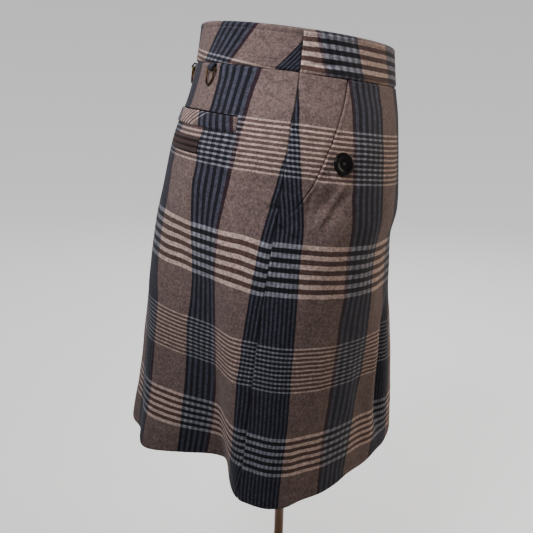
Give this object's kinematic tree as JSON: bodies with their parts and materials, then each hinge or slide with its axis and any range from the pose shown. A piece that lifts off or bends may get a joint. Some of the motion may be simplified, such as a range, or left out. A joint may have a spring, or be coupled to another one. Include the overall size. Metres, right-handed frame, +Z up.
{
  "type": "golf skirt on a hip form stand",
  "caption": "Plaid A-line golf skirt with shaped waistband, slanted front pockets, back welt pocket and hanging D-rings, filled out on a limbless hip form on a pole and round base.",
  "frame": {"origin": "centre of the flat underside of the round base, on the floor under the pole", "axes": "+Z up along the pole; the skirt's front faces -Y; the wearer's right side faces -X"},
  "size_m": [0.3468, 0.3015, 0.6869],
  "materials": {
    "plaid_cloth": "matt brushed wool-mix twill, woven plaid",
    "brown_patch": "matt dark brown",
    "dark_horn": "polished dark horn",
    "dark_brass": "darkened brass",
    "dark_metal": "dark satin",
    "form_cover": "plain matt cover",
    "brown_metal": "brown satin"
  },
  "bodies": {
    "skirt_and_stand": {"front_panel": "plaid_cloth", "back_panel": "plaid_cloth", "pocket_facing_right": "plaid_cloth", "pocket_facing_left": "plaid_cloth", "waistband_front": "plaid_cloth", "waistband_back": "plaid_cloth", "welt_right": "plaid_cloth", "patch_right": "brown_patch", "button_right": "dark_horn", "button_left": "dark_horn", "ring_tab_right": "plaid_cloth", "ring_tab_centre": "plaid_cloth", "zip_slider": "dark_metal", "hip_form": "form_cover", "pole": "brown_metal", "base": "brown_metal"},
    "ring_right": {"d_ring_right": "dark_brass"},
    "ring_centre": {"d_ring_centre": "dark_brass"},
    "zip_pull_tab": {"zip_pull": "dark_metal"}
  },
  "joints": [
    {"name": "ring_right_swing", "type": "hinge", "parent": "skirt_and_stand", "child": "ring_right", "pos_m": [-0.08235, 0.07714, 0.64408], "axis": [0.8172, 0.5735, 0.0568], "range_deg": [0, 130]},
    {"name": "ring_centre_swing", "type": "hinge", "parent": "skirt_and_stand", "child": "ring_centre", "pos_m": [0, 0.10204, 0.64644], "axis": [1, 0, 0], "range_deg": [0, 130]},
    {"name": "zip_pull_swing", "type": "hinge", "parent": "skirt_and_stand", "child": "zip_pull_tab", "pos_m": [0.12198, -0.00312, 0.67082], "axis": [-0.0367, -0.994, -0.1028], "range_deg": [0, 120]}
  ]
}
